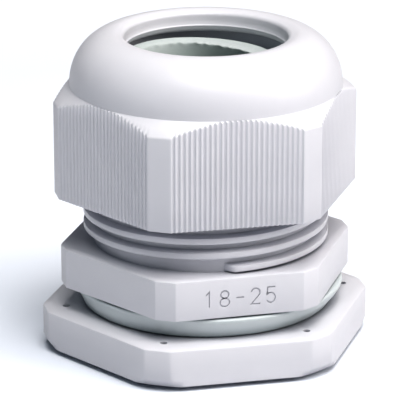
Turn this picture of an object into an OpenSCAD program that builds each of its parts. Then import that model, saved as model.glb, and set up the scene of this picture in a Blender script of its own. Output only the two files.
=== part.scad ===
// Cable gland, PG 36 size: ribbed dome nut, clamping claw with twelve fingers, rubber
// sealing insert, hexagon body with two threads, flat gasket and locknut.
// Millimetres, +Z up along the cable. The end of the entry thread stands on z = 0.
// The nut is shown loose, as it is before a cable is clamped.

/* [Entry thread] */
// Outer diameter of the entry thread
entry_d = 47.0; // [46.8:0.1:47.2]
// Axial advance of the entry thread for one turn
entry_pitch = 1.5875; // [1.58:0.0025:1.6]
// Height of the underside of the flange above the end of the entry thread
entry_h = 13.3; // [13:0.1:14]
// Diameter of the cable passage through the entry thread
passage_d = 34; // [33:0.5:35]

/* [Body] */
// Spanner size of the flange, across its flats
flange_af = 53; // [52.5:0.1:54]
// Distance from the axis to the cut-off corners of the flange
flange_corner_r = 29.4; // [29.2:0.1:29.8]
// Thickness of the flange
flange_h = 8.1; // [7.5:0.1:8.5]
// Height of the clamping thread above the flange
clamp_h = 21; // [20.5:0.5:21]
// Outer diameter of the clamping thread
clamp_d = 49.2; // [49:0.1:49.4]
// Axial advance of the clamping thread for one turn
clamp_pitch = 3; // [2.95:0.01:3.05]
// Mouth diameter of the tapered socket that closes the fingers
socket_d = 39.6; // [39.4:0.1:39.8]

/* [Dome nut] */
// Spanner size of the nut, across its flats
nut_af = 55; // [54.9:0.1:55.4]
// Distance from the axis to the cut-off corners of the nut
nut_corner_r = 30.4; // [30.2:0.1:30.8]
// Height of the nut
nut_h = 31.9; // [31.5:0.1:32.2]
// Gap between the flange and the nut as shown
nut_gap = 10.5; // [9:1.5:12]
// Diameter of the round mouth at its narrowest
mouth_d = 31.6; // [31:0.1:32]
// Grip grooves on each flat of the nut
grooves = 26; // [12:1:26]
// Depth of one grip groove
groove_depth = 0.34; // [0.1:0.02:0.34]

/* [Claw and seal] */
// Inner diameter of the sealing insert, open for the thickest cable
seal_d = 26; // [25:0.5:26.5]
// Length of one finger of the claw
finger_l = 16; // [14:0.5:16]
// Inward lean of the fingers with the nut as shown, in degrees
finger_lean = 5.3; // [4.8:0.1:5.5]

/* [Gasket and locknut] */
// Spanner size of the locknut, across its flats
locknut_af = 60; // [59:0.5:60]
// Distance from the axis to the cut-off corners of the locknut
locknut_corner_r = 33.1; // [32.5:0.1:33.4]
// Thickness of the locknut
locknut_h = 7.7; // [7:0.1:7.8]
// Height of the locknut above the end of the entry thread
locknut_z = 0.9; // [0.5:0.1:1]
// Largest diameter of the gasket, at its upper edge
gasket_d = 53.8; // [53:0.2:54]

/* [Hidden] */
FINGERS = 12;
function finger_name(k) = str("lamella_", k < 10 ? "0" : "", k);
$fn = 96;
nylon = [0.83, 0.83, 0.86];
rubber = [0.78, 0.81, 0.79];
cut = 1;                                  // how far cutting shapes reach past the material
seam = 0.01;                              // overlap of cuts that continue each other

// Threads
turn_steps = 48;                          // flats round one turn of a thread
thread_play = 0.25;                       // radial play between a thread and its nut
flank_play = 0.1;                         // axial play on each flank of a thread
entry_depth = 0.9;
clamp_depth = 2.0;
clamp_crest = 1.2;                        // width of the flat crest of the clamping thread
clamp_flank = 0.25;                       // axial width of one of its flanks
entry_crest = 0.3;
entry_flank = 0.5;
clamp_first = 0.95;                       // height of its first ridge above the flange
entry_first = 1;                          // height of the first ridge of the entry thread
clamp_turns = 6;
entry_turns = 7;
clamp_start = -81.3;                      // where the clamping thread starts, about +Z from +X
entry_start = 40;
run_in = 0.06;                            // share of a turn over which a ridge rises
run_out = 0.12;                           // share of a turn over which it falls again
nut_tap = [6, 2, 6];                      // tap in the nut: reach below it, first turn, turns
locknut_tap = [6, -2, 9];                 // the same for the tap in the locknut

// Heights
flange_top = entry_h + flange_h;
body_top = flange_top + clamp_h;
nut_z = flange_top + nut_gap;
nut_top = nut_z + nut_h;
lip_z = nut_top - 3;                      // lower edge of the lip inside the mouth
hinge_z = nut_top - 13.4;                 // axis on which the fingers bend
collar_z = hinge_z + 1.15;
collar_top = nut_top - 8.2;
seal_top = nut_top - 5.3;
seal_l = 28.5;
seal_z = seal_top - seal_l;
socket_z = flange_top + 0.6;              // where the tapered socket meets the passage

// Turned positions of the three hexagons, for a corner that starts on +X
nut_angle = 12.8;
flange_angle = 14.5;
locknut_angle = 13.4;

// Dome and mouth of the nut
dome_r = 27.1;                            // just inside the floors of the grip grooves
dome_z = nut_top - 10.6;                  // where the straight side turns into the dome
crown_r = 18.2;                           // radius of the highest ring of the dome
grip_z = dome_z + 0.15;                   // upper edge of the ribbed hexagon
grip_limit_r = nut_corner_r + 2;          // clear of the hexagon's corners
chamfer_slope = 2.5 / 3.1;                // climb of the top chamfer towards the dome
dome_overlap = 0.3;                       // how far the dome reaches down into the hexagon
shoulder_z = nut_z + 17.1;                // top of the threaded room inside the nut
ceiling_z = collar_top + 0.25;            // face that pushes on the collar
claw_room_r = 21;                         // room for the claw above the thread
seal_room_r = 19;                         // room for the rim of the seal under the lip
seal_room_z = lip_z - 1.6;
mouth_round = [2.05, 1.3];                // width and height of the rounding into the mouth
lip_ledge = [0.25, 0.1];                  // width and height of the ledge above the lip
lip_bevel = [0.4, 0.9];                   // width and height of the bevel under the lip
dome_steps = 12;
mouth_steps = 4;

// Claw and seal
collar_r = 20.4;
collar_bore_r = 17.1;
finger_r = 19.9;                          // outer face of a finger before it leans inward
finger_t = 2;
finger_span = 24;                         // angle that one finger takes up round the axis
finger_mid_r = finger_r - finger_t / 2;
knuckle_l = 7.2;                          // round bar at the root of a finger
tip_bevel = 0.8;
seal_foot_r = 14.95;
seal_mid_r = 16.9;
seal_mid_z = hinge_z - 2.4;               // where the sleeve's taper ends
seal_shoulder_z = collar_top + 0.3;
seal_rim_r = 15.7;
seal_rim_w = 0.3;                         // flat width of the rim
seal_bevel = 1.1;                         // fall of the bevelled rim towards the bore

// Gasket and locknut
gasket_z = locknut_z + locknut_h + 0.15;
gasket_h = entry_h - gasket_z - 0.3;
gasket_r = gasket_d / 2;
gasket_bore_r = entry_d / 2 + 0.3;
gasket_foot_r = 25;
gasket_bevel = 0.5;                       // bevel of its lower edge
gasket_lip = 1.2;                         // height of its widest part below its top
gasket_edge = 0.3;                        // bevel of its upper edge
bevel_r = locknut_corner_r - 0.6;         // reach of the locknut's corners at its foot
pin_mark_r = 28.8;                        // circle of the six small sinks
pin_mark_d = 1.5;
pin_mark_depth = 3;

// Numerals of the clamping range, cut in the flange
numeral_h = 3.2;
numeral_w = 1.9;
numeral_step = 3.1;
stroke_w = 0.3;
stroke_depth = 0.25;

// Twelve points of a hexagon with flat corners, the first corner on +X
function hex_outline(af, corner_r) =
    let (half = (af / 2 / cos(30) - corner_r) * tan(60))
    [for (k = [0:5], s = [-1, 1])
        [corner_r * cos(60 * k) - s * half * sin(60 * k),
         corner_r * sin(60 * k) + s * half * cos(60 * k)]];

// The same outline with a row of grooves along each flat
function grooved_outline(af, corner_r, count, depth) =
    let (half = (af / 2 / cos(30) - corner_r) * tan(60),
         reach = corner_r / 2 - half * cos(30),
         pitch = 2 * reach / count)
    [for (k = [0:5], i = [0:count - 1], q = [[0.02, 0], [0.3, 1], [0.7, 1], [0.98, 0]])
        let (a = 60 * k + 30,
             u = -reach + (i + q[0]) * pitch,
             d = af / 2 - q[1] * depth)
        [d * cos(a) - u * sin(a), d * sin(a) + u * cos(a)]];

// Height of the ridge at a distance s along a thread of a number of turns, from 0 to 1
function ridge(s, turns) = max(0, min(1, s / run_in, (turns - s) / run_out));

// One column of a thread: foot, four points for each ridge, and top
function thread_column(j, root_r, crest_r, pitch, crest, flank, z0, first, z1, turns) =
    let (a = 360 * j / turn_steps)
    concat([[root_r * cos(a), root_r * sin(a), z0]],
        [for (k = [0:turns - 1], q = [[-crest / 2 - flank, 0], [-crest / 2, 1],
                                       [crest / 2, 1], [crest / 2 + flank, 0]])
            let (s = k + j / turn_steps,
                 r = root_r + q[1] * ridge(s, turns) * (crest_r - root_r))
            [r * cos(a), r * sin(a), first + pitch * s + q[0]]],
        [[root_r * cos(a), root_r * sin(a), z1]]);

// A threaded rod as one closed solid. Its ridge starts at the height first, on +X.
module threaded_rod(root_r, crest_r, pitch, crest, flank, z0, first, z1, turns) {
    rows = 4 * turns + 2;
    last = turn_steps - 1;
    points = [for (j = [0:last])
        each thread_column(j, root_r, crest_r, pitch, crest, flank, z0, first, z1, turns)];
    side = [for (j = [0:last - 1], i = [0:rows - 2], t = [0, 1])
        let (a = j * rows + i, b = a + rows)
        t == 0 ? [a, b + 1, b] : [a, a + 1, b + 1]];
    seam = [for (i = [1:4 * turns - 4 - 1], t = [0, 1])
        let (a = last * rows + i, b = i + 4)
        t == 0 ? [a, b + 1, b] : [a, a + 1, b + 1]];
    low = last * rows;
    foot_fan = concat([[low, low + 1, 0]], [for (i = [0:4]) [low + 1, i + 1, i]]);
    head = 4 * turns;
    head_fan = concat([for (i = [head - 4:head]) [low + i, low + i + 1, head]],
        [[low + head + 1, head + 1, head]]);
    caps = [[for (j = [0:last]) j * rows], [for (j = [last:-1:0]) j * rows + rows - 1]];
    polyhedron(points, concat(side, seam, foot_fan, head_fan, caps), convexity = 10);
}

// Clamping thread; play widens it for the cut inside the nut
module clamp_thread(z0, z1, first_turn, turns, play) {
    wide = play > 0 ? flank_play : 0;
    rotate([0, 0, clamp_start])
        threaded_rod(clamp_d / 2 - clamp_depth + play, clamp_d / 2 + play, clamp_pitch,
            clamp_crest + 2 * wide, clamp_flank, z0,
            flange_top + clamp_first + clamp_pitch * first_turn, z1, turns);
}

// Entry thread; play widens it for the cut inside the locknut
module entry_thread(z0, z1, first_turn, turns, play) {
    wide = play > 0 ? flank_play : 0;
    rotate([0, 0, entry_start])
        threaded_rod(entry_d / 2 - entry_depth + play, entry_d / 2 + play, entry_pitch,
            entry_crest + 2 * wide, entry_flank, z0,
            entry_first + entry_pitch * first_turn, z1, turns);
}

// One straight stroke of a numeral, in the plane of the flat
module stroke(a, b) {
    d = b - a;
    translate([a[0], a[1], 0])
        rotate([0, 0, atan2(d[1], d[0])])
            translate([-stroke_w / 2, -stroke_w / 2, -stroke_depth])
                cube([norm(d) + stroke_w, stroke_w, stroke_depth + cut]);
}

// A path of strokes through corner points given in numeral widths and heights
module numeral(path) {
    for (i = [0:len(path) - 2])
        stroke([path[i][0] * numeral_w, path[i][1] * numeral_h],
               [path[i + 1][0] * numeral_w, path[i + 1][1] * numeral_h]);
}

// Clamping range in millimetres on one flat of the flange
module range_marking() {
    one = [[0.2, 0.8], [0.5, 1], [0.5, 0]];
    eight = [[0, 0], [1, 0], [1, 1], [0, 1], [0, 0]];
    eight_bar = [[0, 0.5], [1, 0.5]];
    dash = [[0.1, 0.5], [0.9, 0.5]];
    two = [[0, 1], [1, 1], [1, 0.5], [0, 0.5], [0, 0], [1, 0]];
    five = [[1, 1], [0, 1], [0, 0.5], [1, 0.5], [1, 0], [0, 0]];
    signs = [one, eight, dash, two, five];
    rotate([0, 0, flange_angle])
        translate([0, -flange_af / 2, entry_h + flange_h / 2 - numeral_h / 2])
            rotate([90, 0, 0])
                translate([-2 * numeral_step - numeral_w / 2, 0, 0]) {
                    for (i = [0:4])
                        translate([i * numeral_step, 0, 0]) numeral(signs[i]);
                    translate([numeral_step, 0, 0]) numeral(eight_bar);
                }
}

// Hexagon flange with the clamping thread above and the entry thread below, bored through
module gland_body() {
    color(nylon) difference() {
        union() {
            translate([0, 0, entry_h]) linear_extrude(flange_h)
                rotate([0, 0, flange_angle]) polygon(hex_outline(flange_af, flange_corner_r));
            clamp_thread(flange_top - cut, body_top, 0, clamp_turns, 0);
            entry_thread(0, entry_h + cut, 0, entry_turns, 0);
        }
        translate([0, 0, -cut]) cylinder(d = passage_d, h = socket_z + 2 * cut);
        translate([0, 0, socket_z]) cylinder(d1 = passage_d, d2 = socket_d, h = body_top - socket_z);
        translate([0, 0, body_top - seam]) cylinder(d = socket_d, h = cut);
        range_marking();
    }
}

// Soft ring between the flange and the locknut, wider at the top
module gasket() {
    color(rubber) translate([0, 0, gasket_z]) rotate_extrude()
        polygon([[gasket_bore_r, 0], [gasket_foot_r, 0],
                 [gasket_foot_r + gasket_bevel, gasket_bevel],
                 [gasket_r, gasket_h - gasket_lip], [gasket_r, gasket_h - gasket_edge],
                 [gasket_r - gasket_edge, gasket_h], [gasket_bore_r, gasket_h]]);
}

// Thin hexagon nut with a small sink near each corner, its lower corners bevelled
module locknut() {
    color(nylon) difference() {
        translate([0, 0, locknut_z]) intersection() {
            linear_extrude(locknut_h) rotate([0, 0, locknut_angle])
                polygon(hex_outline(locknut_af, locknut_corner_r));
            rotate([0, 0, locknut_angle + 30])
                cylinder(r1 = bevel_r / cos(30), r2 = (bevel_r + locknut_h / 2) / cos(30),
                    h = locknut_h, $fn = 6);
        }
        entry_thread(locknut_z - locknut_tap[0], entry_h + cut, locknut_tap[1], locknut_tap[2],
            thread_play);
        for (k = [0:5])
            rotate([0, 0, locknut_angle + 60 * k])
                translate([pin_mark_r, 0, locknut_z + locknut_h - pin_mark_depth])
                    cylinder(d = pin_mark_d, h = pin_mark_depth + cut);
    }
}

// Quarter of an ellipse from the side of the dome up to its crown
function dome_arc() = [for (i = [0:dome_steps])
    let (a = 90 * i / dome_steps)
    [crown_r + (dome_r - crown_r) * cos(a), dome_z + (nut_top - dome_z) * sin(a)]];

// Rounding from the crown down into the mouth
function mouth_arc() = [for (i = [1:mouth_steps])
    let (a = 90 * i / mouth_steps)
    [crown_r - mouth_round[0] * sin(a), nut_top - mouth_round[1] * (1 - cos(a))]];

// Rounded dome with the mouth in it; its foot lies inside the hexagon
module dome() {
    rotate_extrude()
        polygon(concat([[claw_room_r, dome_z - dome_overlap], [dome_r, dome_z - dome_overlap]],
            dome_arc(), mouth_arc(),
            [[mouth_d / 2 + lip_ledge[0], lip_z + lip_ledge[1]],
             [mouth_d / 2, lip_z], [mouth_d / 2 + lip_bevel[0], lip_z - lip_bevel[1]],
             [seal_room_r, seal_room_z], [seal_room_r, ceiling_z], [claw_room_r, ceiling_z]]));
}

// Ribbed hexagon whose corners are cut back by the top chamfer
module grip() {
    intersection() {
        translate([0, 0, nut_z]) linear_extrude(grip_z - nut_z + cut)
            rotate([0, 0, nut_angle])
                polygon(grooved_outline(nut_af, nut_corner_r, grooves, groove_depth));
        rotate_extrude()
            polygon([[0, nut_z - cut], [grip_limit_r, nut_z - cut],
                     [grip_limit_r, grip_z - chamfer_slope * (grip_limit_r - dome_r)],
                     [dome_r, grip_z], [0, grip_z]]);
    }
}

// Clamping nut, threaded below and shouldered inside to push the claw down
module dome_nut() {
    color(nylon) union() {
        difference() {
            grip();
            clamp_thread(nut_z - nut_tap[0], shoulder_z, nut_tap[1], nut_tap[2], thread_play);
            translate([0, 0, nut_z - cut]) cylinder(r = claw_room_r, h = nut_h);
        }
        dome();
    }
}

// Ring at the top of the claw that all the fingers hang from
module claw_collar() {
    color(nylon) translate([0, 0, collar_z]) difference() {
        cylinder(r = collar_r, h = collar_top - collar_z);
        translate([0, 0, -cut]) cylinder(r = collar_bore_r, h = collar_top - collar_z + 2 * cut);
    }
}

// Curved blade of a finger with a bevelled tip, and the round bar that it bends on
module finger() {
    rotate([0, 0, -finger_span / 2]) rotate_extrude(angle = finger_span)
        polygon([[finger_r - finger_t, 0], [finger_r - finger_t, -finger_l],
                 [finger_r - tip_bevel, -finger_l], [finger_r, tip_bevel - finger_l],
                 [finger_r, 0]]);
    translate([finger_mid_r, knuckle_l / 2, 0]) rotate([90, 0, 0])
        cylinder(d = finger_t, h = knuckle_l);
}

// One finger, bent inward about its bar under the collar
module lamella(k) {
    color(nylon) rotate([0, 0, 360 * (k - 1) / FINGERS])
        translate([finger_mid_r, 0, hinge_z]) rotate([0, finger_lean, 0])
            translate([-finger_mid_r, 0, 0]) finger();
}

// Soft sleeve that the fingers squeeze round the cable
module sealing_insert() {
    color(rubber) rotate_extrude()
        polygon([[seal_d / 2, seal_z], [seal_foot_r, seal_z], [seal_mid_r, seal_mid_z],
                 [seal_mid_r, seal_shoulder_z], [seal_rim_r, seal_top],
                 [seal_rim_r - seal_rim_w, seal_top], [seal_d / 2, seal_top - seal_bevel]]);
}

gland_body();
gasket();
locknut();
dome_nut();
claw_collar();
sealing_insert();
for (k = [1:FINGERS])
    lamella(k);
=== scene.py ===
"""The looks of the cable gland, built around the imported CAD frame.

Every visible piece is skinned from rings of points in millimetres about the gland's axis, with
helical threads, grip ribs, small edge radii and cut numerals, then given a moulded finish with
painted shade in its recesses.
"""
import math

import bmesh
import bpy
import numpy as np
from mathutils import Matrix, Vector


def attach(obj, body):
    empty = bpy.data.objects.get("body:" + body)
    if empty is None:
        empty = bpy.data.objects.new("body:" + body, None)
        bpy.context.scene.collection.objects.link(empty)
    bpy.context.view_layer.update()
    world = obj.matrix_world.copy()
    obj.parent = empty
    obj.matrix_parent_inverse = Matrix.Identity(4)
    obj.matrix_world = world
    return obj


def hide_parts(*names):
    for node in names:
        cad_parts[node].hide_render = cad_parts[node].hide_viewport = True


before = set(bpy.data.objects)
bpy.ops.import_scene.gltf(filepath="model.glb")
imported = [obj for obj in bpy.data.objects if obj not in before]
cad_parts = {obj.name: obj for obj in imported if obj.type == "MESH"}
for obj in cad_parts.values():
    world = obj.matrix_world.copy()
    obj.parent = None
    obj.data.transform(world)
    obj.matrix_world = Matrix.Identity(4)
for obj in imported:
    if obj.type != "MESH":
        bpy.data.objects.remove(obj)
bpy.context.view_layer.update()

MM = 0.001
TAU = 2 * math.pi

# Heights and radii of the gland, in millimetres
ENTRY_TOP = 13.3
FLANGE_TOP = 21.4
BODY_TOP = 42.4
NUT_FOOT = 31.7
NUT_TOP = 63.8
LOCKNUT_FOOT = 0.9
LOCKNUT_TOP = 8.6
PASSAGE_R = 17.0
SOCKET_R = 19.8
ENTRY_ROOT, ENTRY_CREST, ENTRY_PITCH = 22.6, 23.5, 1.5875
CLAMP_ROOT, CLAMP_CREST, CLAMP_PITCH = 22.6, 24.6, 3.0
THREAD_PLAY = 0.25
CLAMP_FIRST = FLANGE_TOP + 0.95
CLAMP_FLANK, CLAMP_EDGE = 0.25, 0.14
ENTRY_FLANK, ENTRY_EDGE = 0.5, 0.1
CLAMP_START, ENTRY_START = math.radians(-81.3), math.radians(40)
DOME_R, DOME_FOOT, CROWN_R = 27.1, 53.2, 18.2
SEAL_ROOM_R = 19.0
SHOULDER_Z = 49.0
CEILING_Z = 55.85
SEAL_FOOT, SEAL_TOP, SEAL_R = 30.0, 58.3, 13.0
PIN_CIRCLE_R, PIN_R, PIN_DEPTH = 28.8, 0.75, 2.8

# Each hexagon: across flats, distance to its cut-off corners, turn of one corner from +X.
# A higher sharpness leaves its edges less rounded.
NUT_HEX = (55.0, 30.4, math.radians(12.8))
FLANGE_HEX = (53.0, 29.4, math.radians(14.5))
LOCKNUT_HEX = (60.0, 33.1, math.radians(13.4))
SHARP, BLUNT = 700, 260
GROOVES = 26
GROOVE_DEPTH = 0.34
GROOVE_FLOOR, GROOVE_SIDE = 0.13, 0.19
STEPS_A_GROOVE = 9


# ---------------------------------------------------------------- mesh helpers

class Skin:
    """A closed surface put together from rings of points about the Z axis, in millimetres."""

    def __init__(self):
        self.points = []
        self.faces = []

    def ring(self, angles, r, z):
        """One ring; r and z are numbers or one value for each angle."""
        first = len(self.points)
        r = np.broadcast_to(r, angles.shape)
        z = np.broadcast_to(z, angles.shape)
        self.points.extend(np.stack([r * np.cos(angles), r * np.sin(angles), z], -1).tolist())
        return list(range(first, first + len(angles)))

    def band(self, a, b):
        """Faces between two rings; the finer one may have a multiple of the other's points."""
        n = min(len(a), len(b))
        ka, kb = len(a) // n, len(b) // n
        for i in range(n):
            low = [a[(i * ka + q) % len(a)] for q in range(ka + 1)]
            high = [b[(i * kb + q) % len(b)] for q in range(kb + 1)]
            self.faces.append(low + high[::-1])

    def rings(self, angles, profile):
        """A run of rings joined by bands; returns the first and the last."""
        made = [self.ring(angles, r, z) for r, z in profile]
        for a, b in zip(made, made[1:]):
            self.band(a, b)
        return made[0], made[-1]

    def mesh(self, name):
        """The piece, in metres, with its own sharp edges kept and the rest smooth."""
        mesh = bpy.data.meshes.new(name)
        points = [(x * MM, y * MM, z * MM) for x, y, z in self.points]
        mesh.from_pydata(points, [], self.faces)
        return tidy(mesh)


def tidy(mesh):
    """Welds a mesh, turns its normals out and shades it smooth between sharp edges."""
    work = bmesh.new()
    work.from_mesh(mesh)
    bmesh.ops.remove_doubles(work, verts=work.verts, dist=2e-6)
    bmesh.ops.dissolve_degenerate(work, edges=work.edges, dist=1e-6)
    bmesh.ops.recalc_face_normals(work, faces=work.faces)
    work.to_mesh(mesh)
    work.free()
    mesh.polygons.foreach_set("use_smooth", [True] * len(mesh.polygons))
    mesh.set_sharp_from_angle(angle=math.radians(38))
    return mesh


def piece(mesh, body, slot, material, *nodes):
    """Puts a mesh in the scene as a piece that rides on a body and stands for CAD nodes."""
    obj = bpy.data.objects.new(mesh.name, mesh)
    bpy.context.scene.collection.objects.link(obj)
    mesh.materials.append(material)
    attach(obj, body)
    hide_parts(*nodes)
    return obj


def cut(obj, cutters):
    """Cuts the cutters' volume out of a piece and leaves a plain mesh."""
    mesh = bpy.data.meshes.new("cutter")
    mesh.from_pydata(cutters.points, [], cutters.faces)
    tool = bpy.data.objects.new("cutter", mesh)
    bpy.context.scene.collection.objects.link(tool)
    modifier = obj.modifiers.new("cut", "BOOLEAN")
    modifier.operation = "DIFFERENCE"
    modifier.solver = "EXACT"
    modifier.use_self = True
    modifier.object = tool
    graph = bpy.context.evaluated_depsgraph_get()
    done = bpy.data.meshes.new_from_object(obj.evaluated_get(graph))
    obj.modifiers.clear()
    old, name = obj.data, obj.data.name
    obj.data = tidy(done)
    bpy.data.meshes.remove(old)
    done.name = name
    bpy.data.objects.remove(tool)
    bpy.data.meshes.remove(mesh)


def prism(cutters, outline, place):
    """Adds a closed prism on a plane outline; place turns (x, y, depth) into a point."""
    n = len(outline)
    first = len(cutters.points)
    for depth in (1, 0):
        cutters.points.extend(place(x, y, depth) for x, y in outline)
    cutters.faces.append([first + i for i in range(n)][::-1])
    cutters.faces.append([first + n + i for i in range(n)])
    for i in range(n):
        j = (i + 1) % n
        cutters.faces.append([first + i, first + j, first + n + j, first + n + i])


# ---------------------------------------------------------------- shapes

def hexagon(angles, shape, sharpness=SHARP):
    """Radius of a hexagon with cut-off corners at each angle, its edges slightly rounded."""
    across, corner, turn = shape
    sides = np.arange(12)
    distance = np.where(sides % 2 == 0, corner, across / 2)
    lean = np.cos(angles[:, None] - turn - sides * TAU / 12) / distance
    nearest = lean.max(axis=1, keepdims=True)
    total = (np.clip(lean / nearest, 0, 1) ** sharpness).sum(axis=1)
    return 1 / (nearest[:, 0] * total ** (1 / sharpness))


def half_corner(shape):
    """Half the width of a cut-off corner."""
    across, corner, _ = shape
    return (across / 2 / math.cos(math.radians(30)) - corner) * math.tan(math.radians(60))


def corner_reach(shape):
    """Distance from the middle of a flat to its end, along the flat."""
    _, corner, _ = shape
    return corner / 2 - half_corner(shape) * math.cos(math.radians(30))


def corner_angles(shape):
    """Angles close round each of the twelve edges of a hexagon, and across its corners."""
    across, _, turn = shape
    edge = math.atan2(corner_reach(shape), across / 2)
    near = np.radians([-0.7, -0.4, -0.15, 0.15, 0.4, 0.7])
    angles = []
    for k in range(6):
        middle = turn + math.radians(30 + 60 * k)
        for side in (-1, 1):
            angles.extend(middle + side * edge + near)
        angles.append(turn + math.radians(60 * k))
    return angles


def sorted_angles(*groups):
    """All the angles once each, from 0 to a full turn."""
    values = np.unique(np.round(np.mod(np.concatenate(groups), TAU), 6))
    keep = np.append(np.diff(values) > 1e-4, True)
    return values[keep]


def even_angles(count):
    """Angles spaced evenly round a full turn."""
    return np.arange(count) * TAU / count


def arc(centre_r, centre_z, a, b, start, end, steps):
    """Points of an elliptic arc from one angle to another, in degrees."""
    turn = np.radians(np.linspace(start, end, steps + 1))
    return [(centre_r + a * math.cos(t), centre_z + b * math.sin(t)) for t in turn]


def thread(skin, angles, low, high, root, crest, pitch, profile, first, turns, start,
           run=(0.03, 0.12), floor=-math.inf, inside=False):
    """A helical ridge between two rings at the root radius.

    profile gives points across the ridge as (height along the axis, share of full depth). The
    ridge starts at height first, on the column nearest to the angle start, and climbs for a
    number of turns. run says over how many turns it rises at its start and fades at its end.
    """
    n = len(angles)
    at = int(np.argmin(np.abs(np.mod(angles - start + math.pi, TAU) - math.pi)))
    order = [(at + i) % n for i in range(n)]
    share = np.mod(angles[order] - angles[at], TAU) / TAU
    chains = []
    for i, column in enumerate(order):
        chain = [low[column]]
        for k in range(turns):
            s = k + share[i]
            full = max(0.0, min(1.0, s / run[0], (turns - s) / run[1]))
            full = full * full * (3 - 2 * full)
            for dz, part in profile:
                r = root + full * part * (crest - root)
                z = max(first + pitch * s + dz, floor)
                chain.append(len(skin.points))
                skin.points.append([r * math.cos(angles[column]), r * math.sin(angles[column]), z])
        chain.append(high[column])
        chains.append(chain)
    faces = []
    for a, b in zip(chains, chains[1:]):
        faces += [[a[i], b[i], b[i + 1], a[i + 1]] for i in range(len(a) - 1)]
    a, b, step, end = chains[-1], chains[0], len(profile), (turns - 1) * len(profile)
    faces += [[a[i], b[i + step], b[i + step + 1], a[i + 1]] for i in range(1, end)]
    faces.append([a[0]] + b[:step + 2] + [a[1]])
    faces.append([b[-2], b[-1]] + a[end:][::-1])
    skin.faces += [f[::-1] for f in faces] if inside else faces


def ridge_profile(crest, flank, edge):
    """Points across a thread's ridge: foot, flank, two softened crest edges, flank, foot."""
    half, foot = crest / 2, crest / 2 + flank
    drop = 0.35 * edge
    side = [(-foot, 0.0), (-half - drop, 1 - edge), (-half, 1 - edge / 4), (-half + edge, 1.0)]
    return side + [(-dz, part) for dz, part in side[::-1]]


# ---------------------------------------------------------------- dome nut

def nut_angles():
    """Angles round the nut: several for each grip groove and a few on each smooth corner."""
    across, corner, turn = NUT_HEX
    reach = corner_reach(NUT_HEX)
    along = np.linspace(-reach, reach, GROOVES * STEPS_A_GROOVE + 1)
    flats = np.arctan2(along, across / 2)
    half = math.atan2(half_corner(NUT_HEX), corner)
    corners = np.linspace(-half, half, 13)[1:-1]
    groups = [flats + turn + math.radians(30 + 60 * k) for k in range(6)]
    groups += [corners + turn + math.radians(60 * k) for k in range(6)]
    return np.mod(np.sort(np.concatenate(groups)), TAU)


def groove(angles):
    """Depth of the grip grooves at each angle, nothing on the smooth corners."""
    across, _, turn = NUT_HEX
    reach = corner_reach(NUT_HEX)
    from_middle = np.mod(angles - turn, TAU / 6) - TAU / 12
    along = across / 2 * np.tan(from_middle)
    place = np.mod((along + reach) * GROOVES / (2 * reach) + 0.5, 1) - 0.5
    rise = np.clip((np.abs(place) - GROOVE_FLOOR) / GROOVE_SIDE, 0, 1)
    depth = GROOVE_DEPTH * rise * rise * (3 - 2 * rise)
    return np.where(np.abs(along) < reach, depth, 0.0)


def dome_nut():
    """Ribbed hexagon, top chamfer, dome, rolled mouth, lip, claw room and coarse thread."""
    skin = Skin()
    fine = nut_angles()
    coarse = fine[::3]
    side = hexagon(fine, NUT_HEX) - groove(fine)
    slope = 2.5 / 3.1
    cone_top = DOME_FOOT + 0.15
    cone_z = cone_top - slope * (side - DOME_R)
    edge, inset = 0.3, 0.22
    # Foot, grip faces with rounded edges, and the chamfer up to the dome
    rows = [(side - 1.2, NUT_FOOT), (side - edge, NUT_FOOT),
            (side - 0.3 * edge, NUT_FOOT + 0.3 * edge), (side, NUT_FOOT + edge),
            (side, NUT_FOOT + 6), (side, NUT_FOOT + 12),
            (side, cone_z - 0.25), (side - 0.07, cone_z - 0.02),
            (side - inset * np.minimum(1, side - DOME_R), cone_z + slope * inset),
            ((side + DOME_R) / 2, (cone_z + cone_top) / 2), (DOME_R + 0.02, cone_top)]
    first, foot = skin.rings(fine, rows)
    # Dome, crown and the rolled edge of the mouth
    swell_z = DOME_FOOT + 0.4
    crown_z = NUT_TOP - 0.1
    dome = [(DOME_R, cone_top + 0.12)]
    dome += arc(CROWN_R, swell_z, DOME_R - CROWN_R, crown_z - swell_z, 0, 87, 26)[1:]
    dome += [(18.25, 63.675), (17.8, 63.61), (17.4, 63.5)]
    dome += arc(17.3, 62.55, -1.0, 0.9, 75, 0, 9)
    # Lip inside the mouth, then the rooms for the seal and the claw
    dome += [(16.26, 61.8), (16.22, 60.95), (16.13, 60.78), (16.05, 60.7), (16.03, 60.62),
             (16.06, 60.53), (16.15, 60.42), (16.3, 60.05), (16.5, 59.7), (16.9, 59.35),
             (17.6, 59.1), (SEAL_ROOM_R, 58.9), (SEAL_ROOM_R, CEILING_Z + 0.2),
             (SEAL_ROOM_R + 0.2, CEILING_Z), (20.8, CEILING_Z), (21.0, CEILING_Z - 0.2),
             (21.0, SHOULDER_Z + 0.2), (21.2, SHOULDER_Z), (CLAMP_ROOT + THREAD_PLAY, SHOULDER_Z)]
    start, high = skin.rings(coarse, dome)
    skin.band(foot, start)
    mouth, end = skin.rings(coarse, [(CLAMP_ROOT + THREAD_PLAY, NUT_FOOT + 0.9), (24.9, NUT_FOOT)])
    thread(skin, coarse, mouth, high, CLAMP_ROOT + THREAD_PLAY, CLAMP_CREST + THREAD_PLAY,
           CLAMP_PITCH, ridge_profile(1.4, CLAMP_FLANK, CLAMP_EDGE),
           first=CLAMP_FIRST + 4 * CLAMP_PITCH, turns=5, start=CLAMP_START, inside=True)
    skin.band(end, first)
    return skin.mesh("dome_nut_shell")


# ---------------------------------------------------------------- body

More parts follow.
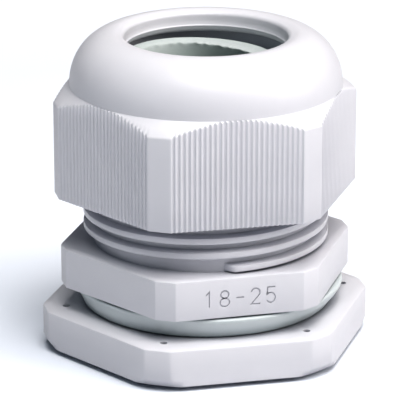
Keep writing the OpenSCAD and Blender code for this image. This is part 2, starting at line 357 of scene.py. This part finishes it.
def gland_body():
    """Entry thread, hexagon flange, clamping thread, tapered socket and cable passage."""
    skin = Skin()
    angles = sorted_angles(even_angles(240), corner_angles(FLANGE_HEX))
    side = hexagon(angles, FLANGE_HEX)
    edge = 0.35
    _, foot = skin.rings(angles, [
        (PASSAGE_R + 0.4, 0), (21.7, 0), (22.0, 0.08), (ENTRY_ROOT, 0.5)])
    under, top = skin.rings(angles, [
        (ENTRY_ROOT, ENTRY_TOP), (side - 2, ENTRY_TOP), (side - edge, ENTRY_TOP),
        (side - 0.3 * edge, ENTRY_TOP + 0.3 * edge), (side, ENTRY_TOP + edge),
        (side, (ENTRY_TOP + FLANGE_TOP) / 2), (side, FLANGE_TOP - edge),
        (side - 0.3 * edge, FLANGE_TOP - 0.3 * edge), (side - edge, FLANGE_TOP),
        (side - 2, FLANGE_TOP), (CLAMP_ROOT, FLANGE_TOP)])
    thread(skin, angles, foot, under, ENTRY_ROOT, ENTRY_CREST, ENTRY_PITCH,
           ridge_profile(0.3, ENTRY_FLANK, ENTRY_EDGE),
           first=1.25, turns=7, start=ENTRY_START, run=(0.2, 0.2))
    rim, _ = skin.rings(angles, [
        (CLAMP_ROOT, BODY_TOP - 0.4), (CLAMP_ROOT - 0.4, BODY_TOP), (SOCKET_R + 0.3, BODY_TOP),
        (SOCKET_R - 0.05, BODY_TOP - 0.3), (PASSAGE_R, FLANGE_TOP + 0.6), (PASSAGE_R, 12),
        (PASSAGE_R, 0.4), (PASSAGE_R + 0.4, 0)])
    # The clamping ridge is rounder underneath than above
    rounded_side = [(-0.95, 0.0), (-0.88, 0.25), (-0.78, 0.6), (-0.66, 0.85), (-0.52, 0.97),
                    (-0.38, 1.0)]
    upper_side = ridge_profile(1.2, CLAMP_FLANK, CLAMP_EDGE)[4:]
    thread(skin, angles, top, rim, CLAMP_ROOT, CLAMP_CREST, CLAMP_PITCH,
           rounded_side + upper_side, first=CLAMP_FIRST, turns=6, start=CLAMP_START,
           run=(0.012, 0.2), floor=FLANGE_TOP)
    return skin.mesh("gland_body_moulding")


def ribbon(path, width, closed=False):
    """Outline of a line of a given width along a path of points."""
    points = [Vector(p) for p in path]
    n = len(points)
    left, right = [], []
    for i, p in enumerate(points):
        before = points[i - 1] if closed or i else None
        after = points[(i + 1) % n] if closed or i < n - 1 else None
        if before is None:
            before = p - (after - p)
        if after is None:
            after = p + (p - before)
        a, b = (p - before).normalized(), (after - p).normalized()
        normal = Vector((-(a + b).y, (a + b).x)).normalized()
        reach = width / 2 / max(0.5, normal.dot(Vector((-a.y, a.x))))
        left.append(p + normal * reach)
        right.append(p - normal * reach)
    return left, right


def numerals(body):
    """Cuts the clamping range in millimetres, 18-25, into one flat of the flange."""
    height, width, step = 3.2, 1.9, 3.1
    line, depth = 0.26, 0.22

    def bow(cx, cy, a, b, start, end, steps=10):
        turn = np.radians(np.linspace(start, end, steps + 1))
        return [(cx + a * math.cos(t), cy + b * math.sin(t)) for t in turn]

    # 1, 8, a dash, 2 and 5 as paths in a unit square
    signs = [
        [[(0.15, 0.78), (0.5, 1.0), (0.5, 0.0)]],
        [bow(0.5, 0.76, 0.42, 0.24, 271, -88.5, 16), bow(0.5, 0.26, 0.5, 0.26, 91, 450, 16)],
        [[(0.1, 0.5), (0.9, 0.5)]],
        [bow(0.5, 0.72, 0.45, 0.28, 165, -30) + [(0.05, 0.0), (1.0, 0.0)]],
        [[(0.95, 1.0), (0.15, 1.0), (0.08, 0.52)] + bow(0.48, 0.32, 0.47, 0.32, 140, -150)],
    ]
    across, _, turn = FLANGE_HEX
    facing = turn - math.radians(90)
    normal = Vector((math.cos(facing), math.sin(facing), 0))
    along = Vector((-math.sin(facing), math.cos(facing), 0))
    middle = normal * (across / 2) + Vector((0, 0, (ENTRY_TOP + FLANGE_TOP) / 2))

    def place(x, y, out):
        reach = 0.5 if out else -depth
        return tuple((middle + along * x + Vector((0, 0, y)) + normal * reach) * MM)

    cutters = Skin()
    for number, paths in enumerate(signs):
        for path in paths:
            across_x = (number - 2) * step
            points = [((x - 0.5) * width + across_x, (y - 0.5) * height) for x, y in path]
            left, right = ribbon(points, line)
            prism(cutters, [tuple(p) for p in left + right[::-1]], place)
    cut(body, cutters)


# ---------------------------------------------------------------- locknut

def locknut():
    """Thin hexagon nut with a rounded top edge, bevelled lower corners and a fine thread."""
    skin = Skin()
    angles = sorted_angles(even_angles(240), corner_angles(LOCKNUT_HEX))
    side = hexagon(angles, LOCKNUT_HEX, BLUNT)
    low_side = np.minimum(side, LOCKNUT_HEX[1] - 0.85)
    edge = 0.45
    bore = ENTRY_ROOT + THREAD_PLAY
    first, last = skin.rings(angles, [
        (23.8, LOCKNUT_FOOT), (low_side - 2, LOCKNUT_FOOT), (low_side - 0.3, LOCKNUT_FOOT),
        (low_side - 0.05, LOCKNUT_FOOT + 0.2),
        (np.minimum(side, low_side + 0.7), LOCKNUT_FOOT + 1.3),
        (side, LOCKNUT_FOOT + 1.6), (side, 5), (side, LOCKNUT_TOP - edge),
        (side - 0.25 * edge, LOCKNUT_TOP - 0.4 * edge), (side - edge, LOCKNUT_TOP),
        (side - 2.4, LOCKNUT_TOP), (23.8, LOCKNUT_TOP)])
    low, _ = skin.rings(angles, [(bore, LOCKNUT_FOOT + 0.8)])
    high, _ = skin.rings(angles, [(bore, LOCKNUT_TOP - 0.6)])
    thread(skin, angles, low, high, bore, ENTRY_CREST + THREAD_PLAY, ENTRY_PITCH,
           ridge_profile(0.5, ENTRY_FLANK, ENTRY_EDGE),
           first=1 + ENTRY_PITCH, turns=3, start=ENTRY_START, run=(0.2, 0.2), inside=True)
    skin.band(low, first)
    skin.band(last, high)
    return skin.mesh("locknut_moulding")


def pin_marks(nut):
    """Six small round sinks near the corners of the locknut."""
    cutters = Skin()
    outline = [(PIN_R * math.cos(a), PIN_R * math.sin(a)) for a in even_angles(20)[::-1]]
    for k in range(6):
        turn = LOCKNUT_HEX[2] + k * TAU / 6
        cx, cy = PIN_CIRCLE_R * math.cos(turn), PIN_CIRCLE_R * math.sin(turn)
        prism(cutters, outline, lambda x, y, up: (
            (cx + x) * MM, (cy + y) * MM, (LOCKNUT_TOP + (1 if up else -PIN_DEPTH)) * MM))
    cut(nut, cutters)


# ---------------------------------------------------------------- soft rings

def gasket():
    """Soft ring with rounded edges, wider at the top, its outside slightly uneven."""
    skin = Skin()
    angles = even_angles(240)
    wave = 0.04 * np.sin(3 * angles + 0.7) + 0.03 * np.sin(7 * angles + 2.1)
    low, high = LOCKNUT_TOP + 0.15, ENTRY_TOP - 0.3
    outer = arc(24.6, low + 0.5, 0.5, 0.5, -90, -20, 4)
    outer += [(25.6, low + 1.3), (26.2, low + 2.2), (26.7, high - 1.1)]
    outer += arc(26.5, high - 0.4, 0.4, 0.4, -10, 90, 6)
    inner = [(24.2, high), (23.8, high - 0.2), (23.8, low + 0.2), (24.2, low)]
    start, end = skin.rings(angles, [(r + wave if r > 24.5 else r, z) for r, z in outer + inner])
    skin.band(end, start)
    # The wider top part sits off centre
    off_centre = 0.6
    for point in skin.points:
        flare = max(0.0, (math.hypot(point[0], point[1]) - 24.8) / 2)
        point[0] += off_centre * flare
    return skin.mesh("gasket_ring")


def seal():
    """Soft sleeve, its bevelled rim a little askew and crinkled where it meets the bore."""
    skin = Skin()
    angles = even_angles(480)
    # The bore's rim is crinkled all round and bulges inwards at the back
    crinkle = np.zeros_like(angles)
    for waves, share, lag in ((17, 0.35, 0.4), (31, 0.4, 2.0), (47, 0.35, 4.1)):
        crinkle += share * np.sin(waves * angles + lag)
    patch = 0.35 + 0.65 * np.clip(np.cos(angles - math.radians(62)), 0, 1)
    crinkle = np.clip(crinkle, -0.6, 1) * patch
    bulge = 1.1 * np.clip(np.cos(angles - math.radians(60)), 0, 1) ** 6
    outer = [(SEAL_R, SEAL_FOOT + 0.2), (SEAL_R + 0.3, SEAL_FOOT), (14.7, SEAL_FOOT),
             (14.95, SEAL_FOOT + 0.3), (16.9, 48.0), (16.9, 55.9)]
    outer += arc(15.35, SEAL_TOP - 0.35, 0.38, 0.35, 20, 100, 5)
    bevel = [(r, SEAL_TOP - 0.02 - 0.3 * (15.25 - r)) for r in (14.9, 14.4, 13.9)]
    bore = SEAL_R + 0.3 - bulge
    rim = [(bore + 0.2 - 0.05 * crinkle, SEAL_TOP - 0.52 + 0.08 * crinkle),
           (bore + 0.1 - 0.16 * crinkle, SEAL_TOP - 0.57 + 0.12 * crinkle),
           (bore - 0.12 * crinkle, SEAL_TOP - 0.7 + 0.04 * crinkle), (bore, SEAL_TOP - 0.95),
           (bore, SEAL_TOP - 1.4), (bore, SEAL_TOP - 3), (SEAL_R, SEAL_TOP - 6)]
    rim += [(SEAL_R, SEAL_TOP - 8), (SEAL_R, SEAL_TOP - 14)]
    start, end = skin.rings(angles, outer + bevel + rim)
    skin.band(end, start)
    # Above lean_from the sleeve leans to one side
    lean_from = 50
    for point in skin.points:
        x, y, z = point
        askew = min(1.0, max(0.0, (z - lean_from) / (SEAL_TOP - lean_from)))
        askew = askew * askew
        inside = min(1.0, max(0.0, (15.5 - math.hypot(x, y)) / 2))
        point[0] -= askew * (0.9 + 1.4 * inside)
        point[1] += askew * 0.6 * inside
        point[2] -= askew * 0.036 * x
    return skin.mesh("sealing_sleeve")


# ---------------------------------------------------------------- materials

def shader(name):
    """A new material with its shader and a way to add and join nodes."""
    material = bpy.data.materials.new(name)
    material.use_nodes = True
    tree = material.node_tree
    principled = tree.nodes["Principled BSDF"]

    def node(kind, **values):
        made = tree.nodes.new(kind)
        for key, value in values.items():
            if hasattr(made, key):
                setattr(made, key, value)
            else:
                made.inputs[key.replace("_", " ")].default_value = value
        return made

    return material, principled, node, tree.links.new


def moulded(name, low, high, rough, grain, soft, radius, painted_shade_colour, reach, span):
    """Moulded plastic or rubber: cloudy colour, painted shade in recesses, fine grain, faint
    scuffs.

    The colour drifts between low and high. Where surfaces within reach (in metres) close a point
    in, shade is painted on by multiplying the colour by the given shade colour; span is how open
    the darkest and the plain places are.
    """
    material, principled, node, link = shader(name)
    place = node("ShaderNodeTexCoord")
    cloud = node("ShaderNodeTexNoise", Scale=90.0, Detail=4.0, Roughness=0.6)
    tint = node("ShaderNodeMix", data_type="RGBA")
    tint.inputs[6].default_value = (*low, 1)
    tint.inputs[7].default_value = (*high, 1)
    speck = node("ShaderNodeTexNoise", Scale=2600.0, Detail=3.0, Roughness=0.7)
    scuff = node("ShaderNodeTexNoise", Scale=700.0, Detail=6.0, Roughness=0.75)
    spread = node("ShaderNodeMapRange", From_Min=0.3, From_Max=0.7, To_Min=rough - 0.05,
                  To_Max=rough + 0.07)
    bump = node("ShaderNodeBump", Strength=grain, Distance=0.00006)
    link(place.outputs["Object"], cloud.inputs["Vector"])
    link(place.outputs["Object"], speck.inputs["Vector"])
    link(place.outputs["Object"], scuff.inputs["Vector"])
    link(cloud.outputs["Fac"], tint.inputs[0])
    # Painted shade: where ambient occlusion finds near surfaces, the base colour is darkened
    open_sky = node("ShaderNodeAmbientOcclusion", samples=8, Distance=reach)
    shade = node("ShaderNodeMapRange", From_Min=span[0], From_Max=span[1], To_Min=0.0, To_Max=1.0)
    painted_shade_mix = node("ShaderNodeMix", data_type="RGBA", blend_type="MIX")
    painted_shade_tone = node("ShaderNodeMix", data_type="RGBA", blend_type="MULTIPLY")
    painted_shade_tone.inputs[0].default_value = 1.0
    painted_shade_tone.inputs[7].default_value = (*painted_shade_colour, 1)
    link(open_sky.outputs["AO"], shade.inputs["Value"])
    link(tint.outputs[2], painted_shade_tone.inputs[6])
    link(shade.outputs["Result"], painted_shade_mix.inputs[0])
    link(painted_shade_tone.outputs[2], painted_shade_mix.inputs[6])
    link(tint.outputs[2], painted_shade_mix.inputs[7])
    link(painted_shade_mix.outputs[2], principled.inputs["Base Color"])
    link(scuff.outputs["Fac"], spread.inputs["Value"])
    link(spread.outputs["Result"], principled.inputs["Roughness"])
    link(speck.outputs["Fac"], bump.inputs["Height"])
    link(bump.outputs["Normal"], principled.inputs["Normal"])
    principled.inputs["IOR"].default_value = 1.5
    principled.inputs["Subsurface Weight"].default_value = soft
    principled.inputs["Subsurface Radius"].default_value = radius
    principled.inputs["Subsurface Scale"].default_value = 0.001
    return material


# The last colour of each finish is painted shade for its creases, grooves and recesses
NYLON = moulded("nylon_light_grey", low=(0.66, 0.66, 0.70), high=(0.72, 0.72, 0.755), rough=0.33,
                grain=0.12, soft=0.08, radius=(1.0, 0.95, 0.9), painted_shade_colour=(0.50, 0.52, 0.56),
                reach=0.005, span=(0.08, 0.55))
GASKET_RUBBER = moulded("gasket_off_white", low=(0.56, 0.61, 0.62), high=(0.62, 0.67, 0.675),
                        rough=0.5, grain=0.3, soft=0.2, radius=(1.0, 1.0, 0.9),
                        painted_shade_colour=(0.5, 0.55, 0.55), reach=0.004, span=(0.08, 0.55))
# Same rubber as the gasket, painted darker as shade deep in the mouth; its long reach shades the
# bore
SEAL_RUBBER = moulded("seal_off_white_painted_shade", low=(0.49, 0.53, 0.525), high=(0.57, 0.605, 0.60),
                      rough=0.55, grain=0.35, soft=0.1, radius=(1.0, 1.0, 0.9),
                      painted_shade_colour=(0.41, 0.48, 0.46), reach=0.03, span=(0.35, 0.8))


# ---------------------------------------------------------------- the pieces

def build():
    """Puts the modelled pieces on their bodies and gives the claw's CAD parts their nylon."""
    piece(dome_nut(), "dome_nut", "nylon", NYLON, "dome_nut")
    body = piece(gland_body(), "gland_body", "nylon", NYLON, "gland_body")
    numerals(body)
    nut = piece(locknut(), "locknut", "nylon", NYLON, "locknut")
    pin_marks(nut)
    piece(gasket(), "gasket", "gasket_rubber", GASKET_RUBBER, "gasket")
    piece(seal(), "insert", "seal_rubber", SEAL_RUBBER, "sealing_insert")
    for name in ["claw_collar"] + ["lamella_%02d" % k for k in range(1, 13)]:
        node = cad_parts[name]
        for slot in node.material_slots:
            slot.material = NYLON


build()


# ---------------------------------------------------------------- stage, lights, camera

def studio():
    """Pale floor, soft lamps mostly above and in front, weak fills and a white backdrop.

    The camera sees the floor a little lighter and bluer than its bounced light, and sees it fade
    into the backdrop far from the gland, so that a low view has no horizon.
    """
    bpy.ops.mesh.primitive_plane_add(size=6.0, location=(0, 0, 0))
    floor = bpy.context.active_object
    floor.name = "studio_floor"
    material, principled, node, link = shader("studio_white")
    principled.inputs["Roughness"].default_value = 0.9
    seen = node("ShaderNodeLightPath")
    paint = node("ShaderNodeMix", data_type="RGBA")
    paint.inputs[6].default_value = (0.64, 0.66, 0.70, 1)
    paint.inputs[7].default_value = (0.84, 0.885, 0.96, 1)
    link(seen.outputs["Is Camera Ray"], paint.inputs[0])
    link(paint.outputs[2], principled.inputs["Base Color"])
    place = node("ShaderNodeTexCoord")
    reach = node("ShaderNodeVectorMath", operation="LENGTH")
    fade = node("ShaderNodeMapRange", From_Min=0.2, From_Max=0.9, To_Min=0.0, To_Max=1.0)
    glow = node("ShaderNodeMath", operation="MULTIPLY")
    link(place.outputs["Object"], reach.inputs[0])
    link(reach.outputs["Value"], fade.inputs["Value"])
    link(fade.outputs["Result"], glow.inputs[0])
    link(seen.outputs["Is Camera Ray"], glow.inputs[1])
    link(glow.outputs["Value"], principled.inputs["Emission Strength"])
    principled.inputs["Emission Color"].default_value = (1, 1, 1, 1)
    floor.data.materials.append(material)

    world = bpy.data.worlds.new("studio")
    bpy.context.scene.world = world
    world.use_nodes = True
    tree = world.node_tree
    surround = tree.nodes["Background"]
    surround.inputs["Color"].default_value = (0.75, 0.88, 1.0, 1)
    surround.inputs["Strength"].default_value = 0.025
    backdrop = tree.nodes.new("ShaderNodeBackground")
    backdrop.inputs["Color"].default_value = (1, 1, 1, 1)
    backdrop.inputs["Strength"].default_value = 1.0
    path = tree.nodes.new("ShaderNodeLightPath")
    blend = tree.nodes.new("ShaderNodeMixShader")
    tree.links.new(path.outputs["Is Camera Ray"], blend.inputs[0])
    tree.links.new(surround.outputs[0], blend.inputs[1])
    tree.links.new(backdrop.outputs[0], blend.inputs[2])
    tree.links.new(blend.outputs[0], tree.nodes["World Output"].inputs["Surface"])

    middle = Vector((0, 0, 0.035))

    def softbox(name, azimuth, height, brightness, colour):
        """A square lamp; brightness is what a white card facing it would show."""
        distance, size = 1.1, 0.6
        data = bpy.data.lights.new(name, "AREA")
        data.shape = "SQUARE"
        data.size = size
        data.energy = brightness * math.pi ** 2 * distance ** 2
        data.color = colour
        lamp = bpy.data.objects.new(name, data)
        bpy.context.scene.collection.objects.link(lamp)
        a, h = math.radians(azimuth), math.radians(height)
        out = Vector((math.cos(h) * math.cos(a), math.cos(h) * math.sin(a), math.sin(h)))
        lamp.location = middle + distance * out
        lamp.rotation_mode = "QUATERNION"
        lamp.rotation_quaternion = (-out).to_track_quat("-Z", "Y")

    warm, cool, blue = (1.0, 0.958, 0.935), (0.95, 0.97, 0.985), (0.75, 0.88, 1.0)
    softbox("key", -45, 66, 0.395, warm)
    softbox("top", 0, 85, 0.375, warm)
    softbox("front", -92, 66, 0.355, cool)
    softbox("front_right", -42, 45, 0.19, warm)
    softbox("right", -10, 25, 0.33, warm)
    softbox("left_fill", -140, 25, 0.06, blue)


def camera():
    """Long lens from the front, tilted a little down on the gland."""
    sensor, tilt = 36, 18.38
    data = bpy.data.cameras.new("camera")
    data.sensor_width = sensor
    data.lens = 7.7 * sensor
    view = bpy.data.objects.new("camera", data)
    bpy.context.scene.collection.objects.link(view)
    view.location = (-1.17 * MM, -587 * MM, 223.75 * MM)
    view.rotation_euler = (math.radians(90 - tilt), 0, 0)
    data.clip_start, data.clip_end = 0.01, 20
    bpy.context.scene.camera = view


studio()
camera()
bpy.context.scene.view_settings.view_transform = "Standard"
bpy.context.scene.view_settings.look = "Medium High Contrast"
